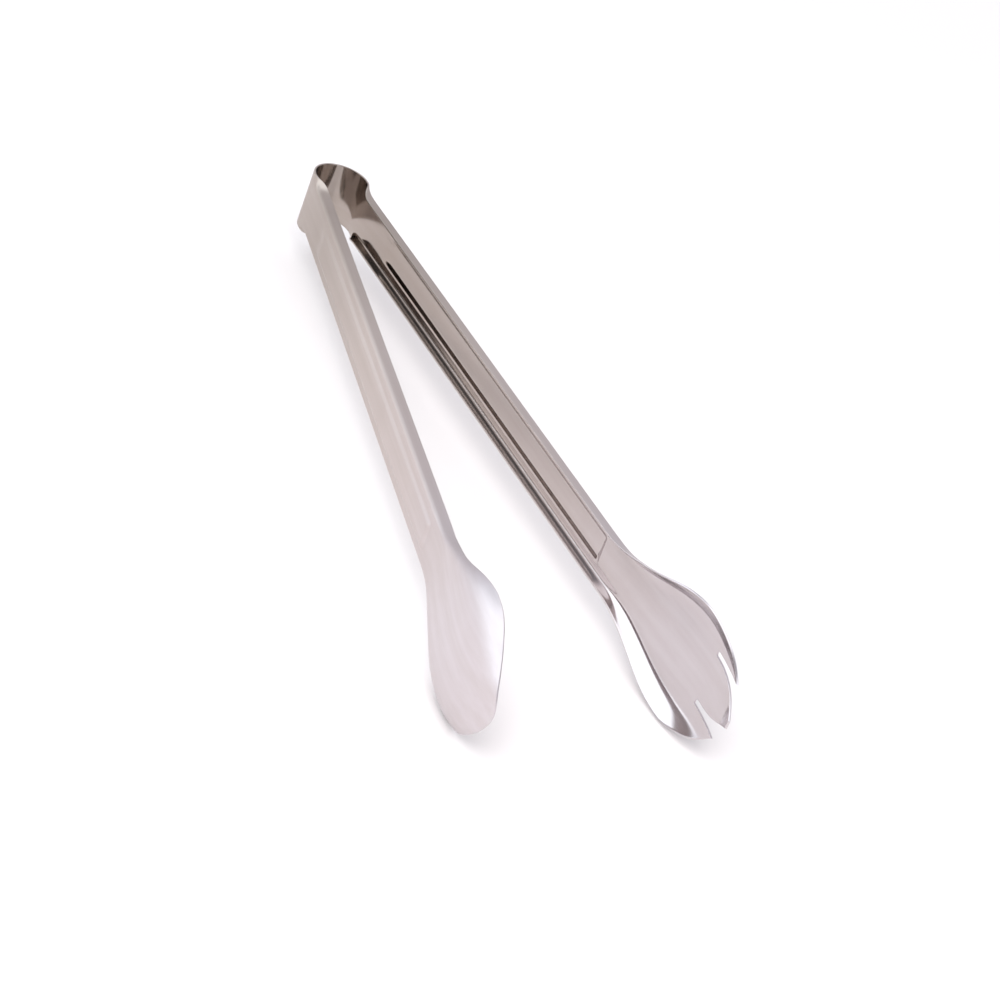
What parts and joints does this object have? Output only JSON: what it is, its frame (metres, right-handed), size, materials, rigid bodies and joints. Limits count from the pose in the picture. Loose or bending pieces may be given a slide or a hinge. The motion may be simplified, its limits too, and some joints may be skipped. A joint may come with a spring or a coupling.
{
  "type": "salad tongs",
  "caption": "One-piece sprung salad tongs: a bent ribbon bow carries a spoon arm and a fork arm, both folded channels, which squeeze together to lift food.",
  "frame": {"origin": "under the middle of the tongs' bounding box, at the height of the heads' lower rims, the tongs lying on their side", "axes": "+Y along the tongs towards the bow, +X from the spoon to the fork, +Z across the width of the ribbon"},
  "size_m": [0.0688, 0.2398, 0.0378],
  "materials": {
    "stainless_steel": "polished, faintly brushed along the arms"
  },
  "bodies": {
    "bow": {"spring_bow": "stainless_steel"},
    "spoon_side": {"spoon_arm": "stainless_steel"},
    "fork_side": {"fork_arm": "stainless_steel"}
  },
  "joints": [
    {"name": "spoon_squeeze", "type": "hinge", "parent": "bow", "child": "spoon_side", "pos_m": [-0.00501, 0.11691, 0.01888], "axis": [0, 0, 1], "range_deg": [-3, 7.2], "stiffness_Nm_per_rad": 5.3, "deforming": ["spring_bow"]},
    {"name": "fork_squeeze", "type": "hinge", "parent": "bow", "child": "fork_side", "pos_m": [0.00502, 0.11691, 0.01888], "axis": [0, 0, -1], "range_deg": [-3, 7.2], "stiffness_Nm_per_rad": 5.3, "deforming": ["spring_bow"]}
  ],
  "couplings": [
    {"joint": "fork_squeeze", "follows": "spoon_squeeze", "ratio": 1}
  ]
}
